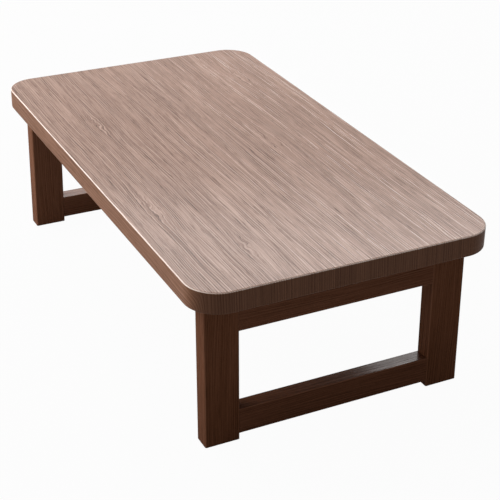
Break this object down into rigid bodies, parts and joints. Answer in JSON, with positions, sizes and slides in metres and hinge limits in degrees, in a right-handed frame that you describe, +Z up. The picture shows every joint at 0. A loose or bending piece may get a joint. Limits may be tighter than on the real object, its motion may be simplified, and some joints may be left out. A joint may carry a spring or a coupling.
{
  "type": "folding low table",
  "caption": "Low rectangular wooden table with rounded corners on two end frames that fold flat under the top on locking brackets.",
  "frame": {"origin": "on the floor under the middle of the top", "axes": "+X along the table's length, +Y across it, +Z up"},
  "size_m": [0.9, 0.5, 0.285],
  "materials": {
    "top_wood": "dark brown stained and satin lacquered, brushed grain along the length",
    "rim_wood": "dark brown stained, satin lacquer",
    "frame_wood": "dark brown stained, satin lacquer",
    "dowel_wood": "plain fluted beech",
    "pad_felt": "dense dark felt",
    "bracket_steel": "black powder coat",
    "pin_steel": "zinc plated",
    "screw_steel": "zinc plated",
    "spring_steel": "bright spring wire",
    "knob_plastic": "black moulded",
    "guide_plastic": "dark moulded"
  },
  "bodies": {
    "top": {"top_board": "top_wood", "front_edge_strip": "rim_wood", "back_edge_strip": "rim_wood", "left_edge_strip": "rim_wood", "right_edge_strip": "rim_wood", "top_plate_screws": "screw_steel", "corner_block_front_left": "rim_wood", "corner_block_back_left": "rim_wood", "corner_block_front_right": "rim_wood", "corner_block_back_right": "rim_wood", "left_front_top_plate": "bracket_steel", "left_front_pivot_pin": "pin_steel", "left_front_lock_hub": "pin_steel", "left_back_top_plate": "bracket_steel", "left_back_pivot_pin": "pin_steel", "left_back_lock_hub": "pin_steel", "right_front_top_plate": "bracket_steel", "right_front_pivot_pin": "pin_steel", "right_front_lock_hub": "pin_steel", "right_back_top_plate": "bracket_steel", "right_back_pivot_pin": "pin_steel", "right_back_lock_hub": "pin_steel"},
    "left_frame": {"left_top_rail": "frame_wood", "left_stretcher": "frame_wood", "left_frame_dowels": "dowel_wood", "left_foot_pads": "pad_felt", "left_leg_plate_screws": "screw_steel", "left_front_leg": "frame_wood", "left_front_leg_plate": "bracket_steel", "left_front_guide_block": "guide_plastic", "left_front_lock_spring": "spring_steel", "left_back_leg": "frame_wood", "left_back_leg_plate": "bracket_steel", "left_back_guide_block": "guide_plastic", "left_back_lock_spring": "spring_steel"},
    "right_frame": {"right_top_rail": "frame_wood", "right_stretcher": "frame_wood", "right_frame_dowels": "dowel_wood", "right_foot_pads": "pad_felt", "right_leg_plate_screws": "screw_steel", "right_front_leg": "frame_wood", "right_front_leg_plate": "bracket_steel", "right_front_guide_block": "guide_plastic", "right_front_lock_spring": "spring_steel", "right_back_leg": "frame_wood", "right_back_leg_plate": "bracket_steel", "right_back_guide_block": "guide_plastic", "right_back_lock_spring": "spring_steel"},
    "left_front_lock": {"left_front_lock_plunger": "pin_steel", "left_front_pull_knob": "knob_plastic"},
    "left_back_lock": {"left_back_lock_plunger": "pin_steel", "left_back_pull_knob": "knob_plastic"},
    "right_front_lock": {"right_front_lock_plunger": "pin_steel", "right_front_pull_knob": "knob_plastic"},
    "right_back_lock": {"right_back_lock_plunger": "pin_steel", "right_back_pull_knob": "knob_plastic"}
  },
  "joints": [
    {"name": "left_frame_fold", "type": "hinge", "parent": "top", "child": "left_frame", "pos_m": [-0.356, 0, 0.247], "axis": [0, -1, 0], "range_deg": [0, 92]},
    {"name": "right_frame_fold", "type": "hinge", "parent": "top", "child": "right_frame", "pos_m": [0.356, 0, 0.247], "axis": [0, 1, 0], "range_deg": [0, 92]},
    {"name": "left_front_lock_slide", "type": "slide", "parent": "left_frame", "child": "left_front_lock", "axis": [-0.0349, 0, -0.9994], "range_m": [-0.0033, 0.002], "stiffness_N_per_m": 600, "springref_m": -0.006, "deforming": ["left_front_lock_spring"]},
    {"name": "left_back_lock_slide", "type": "slide", "parent": "left_frame", "child": "left_back_lock", "axis": [-0.0349, 0, -0.9994], "range_m": [-0.0033, 0.002], "stiffness_N_per_m": 600, "springref_m": -0.006, "deforming": ["left_back_lock_spring"]},
    {"name": "right_front_lock_slide", "type": "slide", "parent": "right_frame", "child": "right_front_lock", "axis": [0.0349, 0, -0.9994], "range_m": [-0.0033, 0.002], "stiffness_N_per_m": 600, "springref_m": -0.006, "deforming": ["right_front_lock_spring"]},
    {"name": "right_back_lock_slide", "type": "slide", "parent": "right_frame", "child": "right_back_lock", "axis": [0.0349, 0, -0.9994], "range_m": [-0.0033, 0.002], "stiffness_N_per_m": 600, "springref_m": -0.006, "deforming": ["right_back_lock_spring"]}
  ]
}
